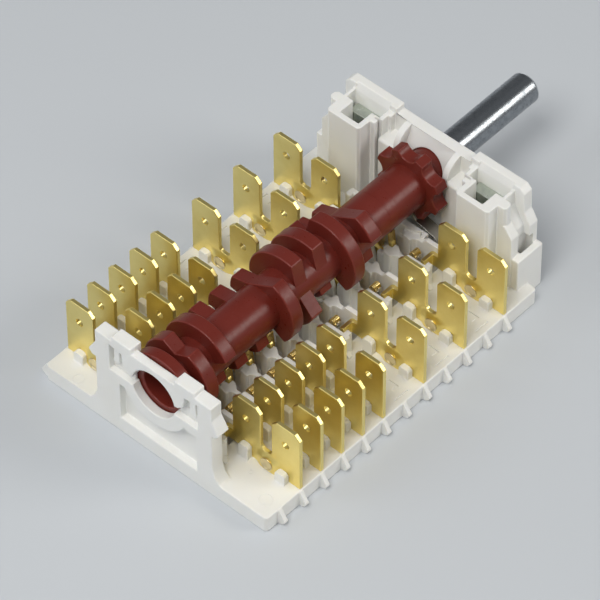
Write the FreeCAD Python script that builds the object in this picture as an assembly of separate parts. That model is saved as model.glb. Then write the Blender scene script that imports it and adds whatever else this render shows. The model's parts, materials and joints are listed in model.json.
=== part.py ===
import FreeCAD, Part
import math
import os

# Oven selector switch: a moulded base with two rows of double blade terminals,
# a one-piece camshaft between the rows and a flatted spindle out of the panel end.
# Working frame in millimetres: X across the switch, Y along the spindle, Z up,
# zero at the near face of the first right-hand terminal and the base's top face.

# terminal field
PITCH = 5.2
SEATS = [0, 1, 2, 3, 4, 6, 8, 10]
SEAT_COUNT = 11
LAST_SEAT = (SEAT_COUNT - 1) * PITCH
LEFT_LAG = 3.24
PLATE = 0.8
TAB_WIDTH = 6.3
TAB_INNER_X = 13.2
TAB_SPACING = 8.8
TAB_OUTER_X = TAB_INNER_X + TAB_SPACING
TAB_TIP_Z = 13.05
TAB_CHAMFER = 1.15
TAB_HOLE_R = 0.8
TAB_HOLE_Z = 8.9
NOTCH_Z = 3.8
EYELET_X = (TAB_INNER_X + TAB_OUTER_X) / 2 + 0.6
EYELET_Z = 1.65
EYELET_R = 1.12
EYELET_WALL = 0.15
EYELET_RIM = 0.17
PANEL_LIFT = 0.75
FOOT_DEPTH = 2.0
ARM_REACH = 1.85
FLAP_X = TAB_INNER_X - TAB_WIDTH / 2 - ARM_REACH
FLAP_LOW = 0.9
FLAP_HIGH = 3.6

# base moulding
SIDE_MARGIN = 3.4
BASE_HALF = TAB_OUTER_X + SIDE_MARGIN
BASE_THICK = 3.4
TROUGH_HALF = FLAP_X + 1.5
TROUGH_FLOOR = -2.2
RIB_START = 0.82
RIB_THICK = 1.0
RIB_LOW = 1.6
RIB_HEAD = 3.65
RIB_HIGH = 4.7
RIB_END = TAB_INNER_X - 1.8
LUG_REACH = 0.95
TOOTH_COUNT = SEAT_COUNT + 1

# rear end wall
REAR_GAP = 5.8
REAR_THICK = 2.7
BASE_NEAR = -REAR_GAP - REAR_THICK
REAR_HALF = 13.2
REAR_TOP = 18.4
REAR_PEAK = 19.4
WEB = 1.8
BORE_R = 4.8

# camshaft and spindle
AXIS_Z = 12.0
CREST = 60.0
BARREL_R = 4.35
CAM_WIDTH = 2.7
CAM_FIRST = -1.5
LOBE_R = 7.5
FLANGE_R = 7.05
FLANGE_NEAR = BASE_NEAR + WEB + 0.1
FLANGE_THICK = 2.2
HOLLOW_WALL = 0.45
HOLLOW_R = BARREL_R - HOLLOW_WALL
STAR_NEAR = LAST_SEAT + 3.4
STAR_WIDTH = 2.7
STAR_FAR = STAR_NEAR + STAR_WIDTH
STAR_TIP = 7.2
STAR_VALLEY = 5.8
STAR_TEETH = 8
HUB_R = 4.1
JOURNAL_R = 3.9
RUNNING_GAP = 0.08
SPINDLE_R = 3.0
SPINDLE_FLAT = 1.6
SPINDLE_OUT = 23.0
SPINDLE_GRIP = 24.4
FLAT_ANGLE = 270.0

# panel end
PANEL_INNER = STAR_FAR + 4.1
PANEL_THICK = 2.2
PAD_FACE = PANEL_INNER - 2.4
PANEL_FACE = PANEL_INNER + PANEL_THICK
BASE_FAR = PANEL_INNER - 1.6
PANEL_TOP = 18.4
PAD_TOP = 19.6
PAD_INNER_X = 8.5
PAD_OUTER_X = 20.4
SCREW_X = 14.0
SCREW_HOLE_R = 2.2
NUT_SIZE = 7.0
NUT_THICK = 2.2
NUT_BORE_R = 1.65
NUT_FAR = PANEL_INNER - 0.25
NUT_FLOOR = 5.0
RELIEF_FLOOR = 7.5
RELIEF_DEPTH = 3.5
TOWER_DEPTH = 7.2
TOWER_INNER_X = SCREW_X - 3.1
TOWER_OUTER_X = SCREW_X + 4.4
BOX_HALF = BASE_HALF - 2.2
BOX_DEPTH = 4.4
GUSSET_X = 5.0
GUSSET_THICK = 1.2
LEDGE_TOP = 14.5

# contacts
LEAF_THICK = 0.3
LEAF_NEAR = -2.1
LEAF_FAR = -0.45
HOOK_X = FLAP_X - 2.7
HOOK_WIDTH = 1.2
HOOK_TOP = 3.5
FINGER_END = 2.6
FINGER_TOP = 4.55
CONTACT_Y = -1.25
CONTACT_Z = 2.2
CONTACT_R = 0.85
CONTACT_HEIGHT = 0.5
BUTTON_HEIGHT = 0.35
SHANK_R = 0.45

V = FreeCAD.Vector
ALONG = V(0, 1, 0)


def box(x0, x1, y0, y1, z0, z1):
    return Part.makeBox(x1 - x0, y1 - y0, z1 - z0, V(x0, y0, z0))


def rod(x, z, radius, y0, y1):
    return Part.makeCylinder(radius, y1 - y0, V(x, y0, z), ALONG)


def cross_rod(x0, x1, y, z, radius):
    return Part.makeCylinder(radius, x1 - x0, V(x0, y, z), V(1, 0, 0))


def face_prism(corners, move):
    wire = Part.makePolygon(corners + [corners[0]])
    return Part.Face(wire).extrude(move)


def slab(profile, y0, y1):
    # closed outline in the XZ plane, run along Y
    return face_prism([V(x, y0, z) for x, z in profile], V(0, y1 - y0, 0))


def plan(profile, z0, z1):
    # closed outline in the XY plane, run along Z
    return face_prism([V(x, y, z0) for x, y in profile], V(0, 0, z1 - z0))


def side(profile, x0, x1):
    # closed outline in the YZ plane, run along X
    return face_prism([V(x0, y, z) for y, z in profile], V(x1 - x0, 0, 0))


def flip(shape):
    return shape.mirror(V(0, 0, 0), V(1, 0, 0))


def both(shape):
    return [shape, flip(shape)]


def half_turn(shape, y):
    # turned about the upright line through the centre plane at y
    copy = shape.copy()
    copy.rotate(V(0, y, 0), V(0, 0, 1), 180)
    return copy


def shifted(shape, y):
    copy = shape.copy()
    copy.translate(V(0, y, 0))
    return copy


def join(shapes):
    return shapes[0].multiFuse(shapes[1:]).removeSplitter()


def bevel(shape, size, pick):
    edges = [edge for edge in shape.Edges if pick(edge.BoundBox)]
    return shape.makeChamfer(size, edges)


def soften(shape, size, pick):
    edges = [edge for edge in shape.Edges if pick(edge.BoundBox)]
    return shape.makeFillet(size, edges)


def spoke(phi, radius, y):
    # phi runs clockwise from the crest direction, seen from the rear end
    angle = math.radians(CREST - phi)
    return V(radius * math.cos(angle), y, AXIS_Z + radius * math.sin(angle))


def wheel(arcs, y0, y1):
    # arcs: start angle, end angle, radius; straight flanks join one to the next
    edges = []
    last = len(arcs) - 1
    for index, (start, end, radius) in enumerate(arcs):
        head = spoke(start, radius, y0)
        tail = spoke(end, radius, y0)
        if end > start:
            middle = spoke((start + end) / 2.0, radius, y0)
            edges.append(Part.Arc(head, middle, tail).toShape())
        following = arcs[0] if index == last else arcs[index + 1]
        edges.append(Part.makeLine(tail, spoke(following[0], following[2], y0)))
    return Part.Face(Part.Wire(edges)).extrude(V(0, y1 - y0, 0))


def star_wheel():
    edges = []
    step = 360.0 / STAR_TEETH
    half_tip = 7.0
    for index in range(STAR_TEETH):
        centre = -10.0 + index * step
        left = spoke(centre - half_tip, STAR_TIP, STAR_NEAR)
        top = spoke(centre, STAR_TIP, STAR_NEAR)
        right = spoke(centre + half_tip, STAR_TIP, STAR_NEAR)
        dip = spoke(centre + step / 2.0, STAR_VALLEY, STAR_NEAR)
        onward = spoke(centre + step - half_tip, STAR_TIP, STAR_NEAR)
        edges.append(Part.Arc(left, top, right).toShape())
        edges.append(Part.Arc(right, dip, onward).toShape())
    return Part.Face(Part.Wire(edges)).extrude(V(0, STAR_WIDTH, 0))


# cam outlines by stage, from the rear end to the panel end
CAMS = [
    [(-118, -52.5, 7.4), (-32, -32, 5.35), (-8, 100, 7.4), (112, 222, BARREL_R)],
    [(-112, 32, LOBE_R), (39, 96, BARREL_R), (104, 128, 6.0), (134, 236, BARREL_R)],
    [(-150, -96, 7.3), (-71, 94, BARREL_R), (102, 128, 6.0), (134, 196, BARREL_R)],
    [(-124, -99, 7.35), (-70, 94, BARREL_R), (102, 128, 6.0), (134, 226, BARREL_R)],
    [(-122, -98, 7.1), (-71, -71, 4.6), (-8, 104, LOBE_R), (114, 228, BARREL_R)],
    [(-126, -12, LOBE_R), (23, 49, BARREL_R), (78, 122, LOBE_R), (134, 222, BARREL_R)],
    [(-126, -12, LOBE_R), (23, 80, BARREL_R), (90, 112, 5.3), (120, 222, BARREL_R)],
    [(-132, -99, 7.35), (-76, -76, 5.2), (-53, 104, LOBE_R), (114, 216, BARREL_R)],
    [(-122, -109, 7.3), (-78, -52, 4.5), (-8, 32, LOBE_R), (38, 80, BARREL_R),
     (95, 114, 5.8), (122, 226, BARREL_R)],
]
# narrow lobe between two stages
EXTRA_LOBE = [(-115, -86, 7.35), (-70, 232, BARREL_R)]
EXTRA_NEAR = 6 * PITCH + 0.7
EXTRA_FAR = EXTRA_NEAR + 2.2


def make_spindle():
    inner = PANEL_FACE - SPINDLE_GRIP
    outer = PANEL_FACE + SPINDLE_OUT
    body = rod(0, AXIS_Z, SPINDLE_R, inner, outer)
    body = bevel(body, 0.6, lambda b: b.YMin > outer - 0.01)
    cutter = box(-2 * SPINDLE_R, 2 * SPINDLE_R, inner - 1, outer + 1, SPINDLE_FLAT, 2 * SPINDLE_R)
    cutter.rotate(V(0, 0, 0), ALONG, 90.0 - FLAT_ANGLE)
    cutter.translate(V(0, 0, AXIS_Z))
    return body.cut(cutter)


def make_camshaft(spindle):
    flange_far = FLANGE_NEAR + FLANGE_THICK
    hub_far = PAD_FACE - 0.1
    pieces = [rod(0, AXIS_Z, BARREL_R, flange_far - 0.5, STAR_NEAR + 0.5)]
    pieces.append(rod(0, AXIS_Z, FLANGE_R, FLANGE_NEAR, flange_far))
    for stage, arcs in enumerate(CAMS):
        middle = CAM_FIRST + stage * PITCH
        pieces.append(wheel(arcs, middle - CAM_WIDTH / 2, middle + CAM_WIDTH / 2))
    pieces.append(wheel(EXTRA_LOBE, EXTRA_NEAR, EXTRA_FAR))
    pieces.append(star_wheel())
    pieces.append(rod(0, AXIS_Z, HUB_R, STAR_FAR - 0.5, hub_far))
    pieces.append(rod(0, AXIS_Z, JOURNAL_R, hub_far - 0.5, PANEL_FACE - 0.6))
    shaft = join(pieces)
    shaft = shaft.cut(rod(0, AXIS_Z, HOLLOW_R, FLANGE_NEAR - 1, FLANGE_NEAR + 10))
    return shaft.cut(spindle)


def blade_outline():
    # the two blades and the foot between them, anticlockwise from the inner arm
    half = TAB_WIDTH / 2
    crown = half - TAB_CHAMFER
    shoulder = TAB_TIP_Z - TAB_CHAMFER
    points = []
    for centre in (TAB_INNER_X, TAB_OUTER_X):
        inner_low = FLAP_LOW if centre == TAB_INNER_X else NOTCH_Z
        outer_low = NOTCH_Z if centre == TAB_INNER_X else 0.0
        points += [(centre - half, inner_low), (centre - half, shoulder)]
        points += [(centre - crown, TAB_TIP_Z), (centre + crown, TAB_TIP_Z)]
        points += [(centre + half, shoulder), (centre + half, outer_low)]
    return points + [(TAB_INNER_X - 0.6, 0.0), (TAB_INNER_X - 1.2, FLAP_LOW)]


def finger_outline():
    # strip under the shaft that ends upright against the rib head on the other side
    root = FLAP_X + 1.3
    low = TROUGH_FLOOR + 0.8
    high = FLAP_LOW - 0.2
    return [(root, FLAP_LOW + 0.3), (root, low), (1.0 - FINGER_END, low),
            (-FINGER_END, low + 1.0), (-FINGER_END, FINGER_TOP - 0.35),
            (0.3 - FINGER_END, FINGER_TOP), (0.6 - FINGER_END, FINGER_TOP),
            (0.9 - FINGER_END, FINGER_TOP - 0.45), (0.9 - FINGER_END, high),
            (root - 0.6, high), (root - 0.6, FLAP_LOW + 0.3)]


def foot_tongues(depth, top):
    # tongues of a terminal's foot, or with more height the slots they stand in
    return [box(TAB_INNER_X - 0.6, TAB_INNER_X + 0.8, 0, PLATE, -depth, top),
            box(TAB_OUTER_X - 1.2, TAB_OUTER_X + 0.4, 0, PLATE, -depth, top)]


def make_terminal(left):
    # right-hand blade at seat zero, near face on Y = 0; a left one is flipped later
    blade = slab(blade_outline(), 0, PLATE)
    blade = soften(blade, 1.0, lambda b: b.ZLength < 0.01 and b.XLength < 0.01
                   and abs(b.ZMin - NOTCH_Z) < 0.01)
    # pressed-out panel that carries the eyelet, one plate thickness proud
    x = EYELET_X
    swell = slab([(x - 2.5, 0.0), (x - 2.1, 2.2), (x - 1.2, 3.0), (x + 1.1, 3.0), (x + 1.9, 2.3),
                  (x + 2.1, 1.1), (x + 1.5, 0.0)], -PANEL_LIFT, 0.05)
    swell = bevel(swell, 0.45, lambda b: b.YMax < 0.01 - PANEL_LIFT and b.ZMax > 0.02)
    # arm folded into the cell, where the contact sits
    arm_end = TAB_INNER_X - TAB_WIDTH / 2 + 0.25
    arm = box(FLAP_X + 0.3, arm_end, 0, PLATE, FLAP_LOW, FLAP_HIGH)
    near, far = (0, 3.0) if left else (-2.3, PLATE)
    corner_y = 0 if left else PLATE
    flap = box(FLAP_X, FLAP_X + PLATE, near, far, FLAP_LOW, FLAP_HIGH)
    bend = soften(flap.fuse(arm).removeSplitter(), 0.6,
                  lambda b: b.ZLength > 2 and abs(b.YMin - corner_y) < 0.01
                  and b.XMax < FLAP_X + 0.01)
    pieces = [blade, swell, bend] + foot_tongues(FOOT_DEPTH, 0.1)
    if left:
        pieces.append(slab(finger_outline(), 0, PLATE))
    blade = join(pieces)
    for centre in (TAB_INNER_X, TAB_OUTER_X):
        blade = blade.cut(rod(centre, TAB_HOLE_Z, TAB_HOLE_R, -1, 2))
    contact_y = CONTACT_Y + LEFT_LAG if left else CONTACT_Y
    blade = blade.cut(cross_rod(FLAP_X - 1, FLAP_X + 2, contact_y, CONTACT_Z, SHANK_R))
    return blade.cut(rod(EYELET_X, EYELET_Z, EYELET_R, -2, 2))


def make_eyelet():
    # tubular rivet with a rolled rim on the pressed-out side
    front = -PANEL_LIFT - 0.15
    rim = rod(EYELET_X, EYELET_Z, EYELET_R + EYELET_RIM, front, -PANEL_LIFT)
    tube = rod(EYELET_X, EYELET_Z, EYELET_R, -PANEL_LIFT - 0.05, PLATE)
    solid = join([rim, tube])
    return solid.cut(rod(EYELET_X, EYELET_Z, EYELET_R - EYELET_WALL, -2, 2))


def leaf_path():
    # centre line of a moving contact leaf, from its root on the left flap over a
    # crown under the shaft to the hooked end that carries the contact
    root = LEAF_THICK / 2 - FLAP_X
    low = TROUGH_FLOOR + 1.0
    crown = AXIS_Z - LOBE_R + 0.7
    end = HOOK_X + HOOK_WIDTH
    shoulder = HOOK_TOP - 0.8
    return [(root, FLAP_HIGH - 0.2), (root, low + 1.2), (root + 1.2, low), (-1.8, low),
            (-1.2, crown), (0.6, crown), (1.2, low), (HOOK_X - 0.9, low), (HOOK_X, low + 1.2),
            (HOOK_X, shoulder), (HOOK_X + 0.25, HOOK_TOP - 0.2), (HOOK_X + 0.6, HOOK_TOP),
            (end - 0.25, HOOK_TOP - 0.2), (end, shoulder), (end, FLAP_LOW + 0.4)]


def make_leaf():
    # strip of even thickness bent in the XZ plane
    path = leaf_path()
    half = LEAF_THICK / 2
    angles = [math.atan2(end[1] - start[1], end[0] - start[0])
              for start, end in zip(path, path[1:])]
    upper = []
    lower = []
    for index, (x, z) in enumerate(path):
        before = angles[max(index - 1, 0)]
        after = angles[min(index, len(angles) - 1)]
        mean = (before + after) / 2
        reach = half / math.cos((after - before) / 2)
        upper.append((x - reach * math.sin(mean), z + reach * math.cos(mean)))
        lower.append((x + reach * math.sin(mean), z - reach * math.cos(mean)))
    strip = slab(upper + lower[::-1], LEAF_NEAR, LEAF_FAR)
    return strip.cut(cross_rod(-FLAP_X - 1, -FLAP_X + 1, CONTACT_Y, CONTACT_Z, SHANK_R))


def moving_contact():
    face = HOOK_X + HOOK_WIDTH + LEAF_THICK / 2
    return cross_rod(face, face + BUTTON_HEIGHT, CONTACT_Y, CONTACT_Z, CONTACT_R)


def fixed_contact():
    head = cross_rod(FLAP_X - CONTACT_HEIGHT, FLAP_X, CONTACT_Y, CONTACT_Z, CONTACT_R)
    shank = cross_rod(FLAP_X - 0.1, FLAP_X + PLATE, CONTACT_Y, CONTACT_Z, SHANK_R)
    return join([head, shank])


def root_rivet():
    inner = LEAF_THICK - FLAP_X
    head = cross_rod(inner, inner + 0.4, CONTACT_Y, CONTACT_Z, CONTACT_R)
    shank = cross_rod(-FLAP_X - PLATE, inner + 0.1, CONTACT_Y, CONTACT_Z, SHANK_R)
    return join([head, shank])


def rib_profile():
    # right half of a cell wall, from the centre line out: low under the shaft,
    # level at the head, a step higher towards the terminals
    floor = TROUGH_FLOOR - 0.3
    step = FLAP_X - 2.5
    return [(0, floor), (0, RIB_LOW), (1.45, RIB_LOW), (1.45, RIB_HEAD), (step, RIB_HEAD),
            (step + 0.8, RIB_HIGH), (RIB_END - 0.4, RIB_HIGH), (RIB_END, RIB_HIGH - 0.4),
            (RIB_END, 1.0), (RIB_END + 0.8, 0.3), (RIB_END + 0.8, -0.3), (TROUGH_HALF, -0.3),
            (TROUGH_HALF, floor)]


def make_rib():
    # cell wall of seat zero; lugs on its head stop the terminals' strips
    near = RIB_START
    far = RIB_START + RIB_THICK
    floor = TROUGH_FLOOR - 0.3
    half = rib_profile()
    wall = slab(half + [(-x, z) for x, z in reversed(half) if x > 0], near, far)
    near_lug = plan([(2.0, far), (2.0, near - 0.72), (3.5, near - LUG_REACH),
                     (3.9, near - 0.9), (3.95, near - 0.45), (4.5, near)], floor, RIB_HEAD)
    far_lug = plan([(2.65, near), (2.65, far + LUG_REACH), (3.35, far + LUG_REACH),
                    (3.95, far + 0.5), (4.6, far)], floor, RIB_HEAD)
    near_lug = soften(near_lug, 0.15, lambda b: b.ZLength > 5 and 3.4 < b.XMin < 3.92)
    far_lug = soften(far_lug, 0.3, lambda b: b.ZLength > 5 and 3.3 < b.XMin < 3.4)
    outer_lug = box(RIB_END - 1.3, RIB_END - 0.2, far - 0.1, far + LUG_REACH, -0.2, RIB_HIGH)
    middle = (near + far) / 2
    others = [half_turn(far_lug, middle), half_turn(outer_lug, middle)]
    return join([wall, near_lug, far_lug, outer_lug] + others)


def terminal_seats():
    cuts = []
    for seat in SEATS:
        for slot in foot_tongues(FOOT_DEPTH, 0.5):
            cuts.append(shifted(slot, seat * PITCH))
            cuts.append(shifted(flip(slot), seat * PITCH - LEFT_LAG))
    return cuts


def field_lugs():
    # pairs of lugs that back each terminal on its near side
    lugs = []
    for centre, height in ((TAB_INNER_X + 0.15, 3.1), (TAB_OUTER_X - 0.4, 2.2)):
        half = 1.1
        lug = slab([(centre - half, -0.2), (centre - half, height - 0.35),
                    (centre - half + 0.35, height), (centre + half - 0.35, height),
                    (centre + half, height - 0.35), (centre + half, -0.2)], -1.2, 0)
        for seat in SEATS:
            lugs.append(shifted(lug, seat * PITCH))
            lugs.append(shifted(flip(lug), seat * PITCH - LEFT_LAG))
    return lugs


def side_teeth():
    profile = [(BASE_HALF - 0.3, 0.0), (BASE_HALF, 0.0), (BASE_HALF + 1.5, -2.3),
               (BASE_HALF + 1.2, -2.9), (BASE_HALF + 0.5, -BASE_THICK),
               (BASE_HALF - 0.3, -BASE_THICK)]
    tooth = slab(profile, -0.4, 0.5)
    teeth = []
    for index in range(TOOTH_COUNT):
        y = (index - 1) * PITCH
        teeth.append(shifted(tooth, y))
        teeth.append(shifted(flip(tooth), y - LEFT_LAG + PLATE))
    return teeth


def seat_marks():
    # empty seats keep the outline of their unused slots in the top face
    marks = []
    edge = TAB_OUTER_X
    for seat in range(SEAT_COUNT):
        if seat in SEATS:
            continue
        y = seat * PITCH
        run = box(edge - 1.9, edge + 0.4, y + 1.7, y + 2.1, -0.9, 0.5)
        fall = box(edge, edge + 0.4, y + 0.6, y + 2.1, -0.9, 0.5)
        line = box(edge + 1.9, edge + 2.2, y - 0.9, y + 2.4, -0.25, 0.5)
        for cut in (run, fall, line):
            marks.append(cut)
            marks.append(shifted(flip(cut), -LEFT_LAG))
    return marks


def rear_outline():
    # right half from the foot fillet up over the latch wedge to the notched top
    half = REAR_HALF
    return [(half + 3.4, -0.4), (half + 1.6, 0.2), (half + 0.6, 1.3), (half, 3.3),
            (half, 11.6), (half + 0.7, 11.6), (half + 1.6, 12.6), (half, 15.4),
            (half, REAR_TOP), (9.4, REAR_TOP), (9.4, REAR_PEAK), (4.9, REAR_PEAK), (4.9, 18.2)]


def rear_wall():
    near = BASE_NEAR
    far = BASE_NEAR + REAR_THICK
    right = rear_outline()
    wall = slab(right + [(-x, z) for x, z in reversed(right)], near, far)
    wall = wall.fuse(box(-16, 16, near, far, -1, 0))
    # seat for the shaft flange behind the web, open at the top
    wall = wall.cut(rod(0, AXIS_Z, FLANGE_R + RUNNING_GAP, near + WEB, far + 1))
    wall = wall.cut(box(-4.9, 4.9, near + WEB, far + 1, AXIS_Z, REAR_PEAK + 1))
    # bore and the two catch windows that run into it
    wall = wall.cut(rod(0, AXIS_Z, BORE_R, near - 1, far))
    window = slab([(10.0, 10.8), (4.0, 10.8), (4.0, 12.6), (5.6, 12.9), (6.7, 13.9),
                   (7.1, 15.4), (7.1, 16.6), (10.0, 17.0)], near - 1, far + 1)
    for opening in both(window):
        wall = wall.cut(opening)
    # sunk panel under the hub, with a lower step
    hub = rod(0, AXIS_Z, FLANGE_R + 0.5, near - 2, near + 2)
    sunk = slab([(-7.8, -1.8), (9.6, -1.8), (9.6, 8.6), (-7.8, 8.6)], near - 1, near + 1.5)
    step = slab([(-7.8, -2.4), (9.6, -2.4), (9.6, -1.6), (-7.8, -1.6)], near - 1, near + 0.8)
    wall = wall.cut(sunk.cut(hub)).cut(step)
    # catch pegs that hang in the windows
    peg = slab([(8.0, 17.1), (8.0, 13.3), (8.4, 12.8), (9.1, 12.8), (9.5, 13.3), (9.3, 13.9),
                (9.3, 17.1)], near + 0.5, near + 1.9)
    return join([wall] + both(peg))


def tower():
    # right-hand screw tower, its flange and its clip box
    wall = PANEL_INNER
    inner = TOWER_INNER_X
    outer = TOWER_OUTER_X
    mass = box(inner, outer, wall - TOWER_DEPTH, wall + 0.3, -0.4, PANEL_TOP)
    mass = bevel(mass, 0.5, lambda b: b.ZLength > 10 and b.YMax < wall - TOWER_DEPTH + 0.01)
    rails = [box(inner - 1.5, inner + 0.1, wall - 2.8, wall + 0.3, -0.4, PANEL_TOP),
             box(inner - 1.0, inner + 0.1, wall - 4.2, wall - 3.2, -0.4, PANEL_TOP),
             box(inner - 2.1, inner, wall - 1.2, wall + 0.3, -0.4, PANEL_TOP)]
    outer_rail = box(outer - 0.2, outer + 1.7, wall - 4.6, wall - 2.6, -0.4, PANEL_TOP)
    outer_rail = bevel(outer_rail, 0.5, lambda b: b.ZLength > 10 and b.XMin > outer + 1.69)
    swell = slab([(outer, 14.6), (outer + 1.7, 14.0), (outer + 3.3, 11.8), (outer + 3.3, -0.4),
                  (outer, -0.4)], wall - 4.6, wall - 2.6)
    sill = slab([(outer - 0.1, 15.6), (outer + 2.2, 11.6), (outer + 2.2, 6.8),
                 (outer - 0.1, 6.8)], wall - 2.8, wall + 1.2)
    flange = slab([(PAD_OUTER_X - 1.0, PAD_TOP), (PAD_OUTER_X, PAD_TOP - 1.0),
                   (PAD_OUTER_X + 0.1, 14.3), (PAD_OUTER_X + 1.5, 11.9),
                   (PAD_OUTER_X + 1.5, -0.4), (PAD_INNER_X - 0.5, -0.4),
                   (PAD_INNER_X - 0.5, PANEL_TOP - 0.1), (PAD_INNER_X, PANEL_TOP - 0.1),
                   (PAD_INNER_X, PAD_TOP)], wall, PANEL_FACE)
    case = box(outer - 0.4, BOX_HALF, PANEL_FACE - BOX_DEPTH - 2.2, PANEL_FACE, -BASE_THICK, 7.0)
    mass = join([mass, outer_rail, swell, sill, flange, case] + rails)
    # nut slot, hollow ahead of it, lead-in chamfer, screw clearance and the clip's mouth
    slot_near = NUT_FAR - NUT_THICK - 0.05
    half = NUT_SIZE / 2 + 0.3
    top = PAD_TOP + 1
    mass = mass.cut(box(SCREW_X - half, SCREW_X + half, slot_near, NUT_FAR + 0.05, NUT_FLOOR, top))
    mass = mass.cut(box(SCREW_X - 2.0, SCREW_X + 2.2, slot_near - RELIEF_DEPTH, slot_near + 0.3,
                        RELIEF_FLOOR, top))
    mass = mass.cut(side([(NUT_FAR, PANEL_TOP - 0.5), (NUT_FAR, top), (wall + 1.1, top)],
                         SCREW_X - half, SCREW_X + half))
    mass = mass.cut(box(outer + 1.9, outer + 3.6, wall - 2.3, wall + 1.0, 2.0, 9.4))
    return mass.cut(rod(SCREW_X, AXIS_Z, SCREW_HOLE_R, wall - 1.2, PANEL_FACE + 1))


def gusset():
    # curved web that stiffens the panel wall beside the shaft
    wall = PANEL_INNER + 0.1
    foot = V(GUSSET_X, wall, -0.4)
    top = V(GUSSET_X, wall, PANEL_TOP)
    nose = V(GUSSET_X, wall - 3.6, 14.6)
    swell = V(GUSSET_X, wall - 2.7, 17.1)
    toe = V(GUSSET_X, wall - 3.6, -0.4)
    edges = [Part.makeLine(foot, top), Part.Arc(top, swell, nose).toShape(),
             Part.makeLine(nose, toe), Part.makeLine(toe, foot)]
    return Part.Face(Part.Wire(edges)).extrude(V(GUSSET_THICK, 0, 0))


def panel_end():
    wall = PANEL_INNER
    pieces = [box(-PAD_INNER_X - 1.5, PAD_INNER_X + 1.5, wall, PANEL_FACE, -BASE_THICK, PANEL_TOP)]
    pieces.append(box(-BOX_HALF, BOX_HALF, BASE_FAR - 0.6, PANEL_FACE, -BASE_THICK, 0))
    # solid shoulder between each web and its tower
    ledge = box(GUSSET_X + 1.0, TOWER_INNER_X - 1.4, wall - 3.7, wall + 0.1, -0.4, LEDGE_TOP)
    ledge = soften(ledge, 0.6, lambda b: b.ZMin > LEDGE_TOP - 0.01 and b.YMax < wall - 3.69)
    # wall thickened round the bearing, sloping back to the top edge
    pieces.append(side([(wall + 0.1, PANEL_TOP), (PAD_FACE, AXIS_Z + 0.6), (PAD_FACE, -0.4),
                        (wall + 0.1, -0.4)], -GUSSET_X - 0.1, GUSSET_X + 0.1))
    for piece in (tower(), gusset(), ledge):
        pieces.extend(both(piece))
    return join(pieces).cut(rod(0, AXIS_Z, JOURNAL_R + RUNNING_GAP, PAD_FACE - 1, PANEL_FACE + 1))


def wheel_block():
    # notched block ahead of the detent wheel
    near = STAR_NEAR - 1.9
    block = box(-5.6, 5.6, near, near + 1.5, -2.4, 4.1)
    notch = plan([(3.2, near - 0.1), (4.4, near + 1.1), (5.0, near - 0.1)], 0, 6)
    return block.cut(notch).cut(flip(notch))


def make_base():
    body = box(-BASE_HALF, BASE_HALF, BASE_NEAR, BASE_FAR, -BASE_THICK, 0)
    body = soften(body, 0.8, lambda b: b.ZLength > 3)
    body = body.cut(box(-TROUGH_HALF, TROUGH_HALF, -REAR_GAP, BASE_FAR + 0.4, TROUGH_FLOOR, 1))
    body = body.cut(Part.makeCompound(terminal_seats() + seat_marks()))
    rib = make_rib()
    ribs = [shifted(rib, index * PITCH) for index in range(-1, SEAT_COUNT)]
    return join([body, rear_wall(), panel_end(), wheel_block()] + ribs + field_lugs()
                + side_teeth())


def make_nut():
    half = NUT_SIZE / 2
    nut = box(SCREW_X - half, SCREW_X + half, NUT_FAR - NUT_THICK, NUT_FAR,
              AXIS_Z - half, AXIS_Z + half)
    nut = bevel(nut, 0.4, lambda b: b.YLength > 1)
    return nut.cut(rod(SCREW_X, AXIS_Z, NUT_BORE_R, NUT_FAR - 4, NUT_FAR + 1))


def make_detent():
    # bowed strip under the star wheel with one ridge in a valley
    near = STAR_NEAR + 0.15
    far = STAR_FAR - 0.15
    top = AXIS_Z - STAR_VALLEY - 0.12
    outer = [(-8.6, 1.0), (-6.2, 3.0), (-1.9, top - 1.9), (-0.5, top - 0.1), (0.5, top - 0.1),
             (1.9, top - 1.9), (6.2, 3.0), (8.6, 1.0)]
    inner = [(x, z - 0.35) for x, z in outer]
    bow = slab(outer + inner[::-1], near, far)
    leg = box(8.25, 8.6, near, far, TROUGH_FLOOR, 1.2)
    return join([bow] + both(leg))


def place(shape):
    moved = shape.copy()
    moved.translate(V(0, -PANEL_FACE, -AXIS_Z))
    return moved


def save(name, shape):
    place(shape).exportStep("parts/" + name + ".step")


def save_row(name, shape, lag):
    copies = [shifted(shape, seat * PITCH - lag) for seat in SEATS]
    save(name, Part.makeCompound(copies))


os.makedirs("parts", exist_ok=True)
spindle = make_spindle()
right_blade = make_terminal(False)
left_blade = flip(make_terminal(True))
leaf = make_leaf()

save("base_frame", make_base())
save("spindle", spindle)
save("camshaft", make_camshaft(spindle))
save("panel_nuts", Part.makeCompound(both(make_nut())))
save("detent_spring", make_detent())
for number, seat in enumerate(SEATS, start=1):
    save("terminal_right_" + str(number), shifted(right_blade, seat * PITCH))
    save("terminal_left_" + str(number), shifted(left_blade, seat * PITCH - LEFT_LAG))
    save("contact_leaf_" + str(number), shifted(leaf, seat * PITCH))
save_row("eyelets_right", make_eyelet(), 0)
save_row("eyelets_left", flip(make_eyelet()), LEFT_LAG)
save_row("fixed_contacts", fixed_contact(), 0)
save_row("moving_contacts", moving_contact(), 0)
save_row("leaf_rivets", root_rivet(), 0)
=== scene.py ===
import json
import math

import bmesh
import bpy
from mathutils import Matrix, Vector


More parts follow.
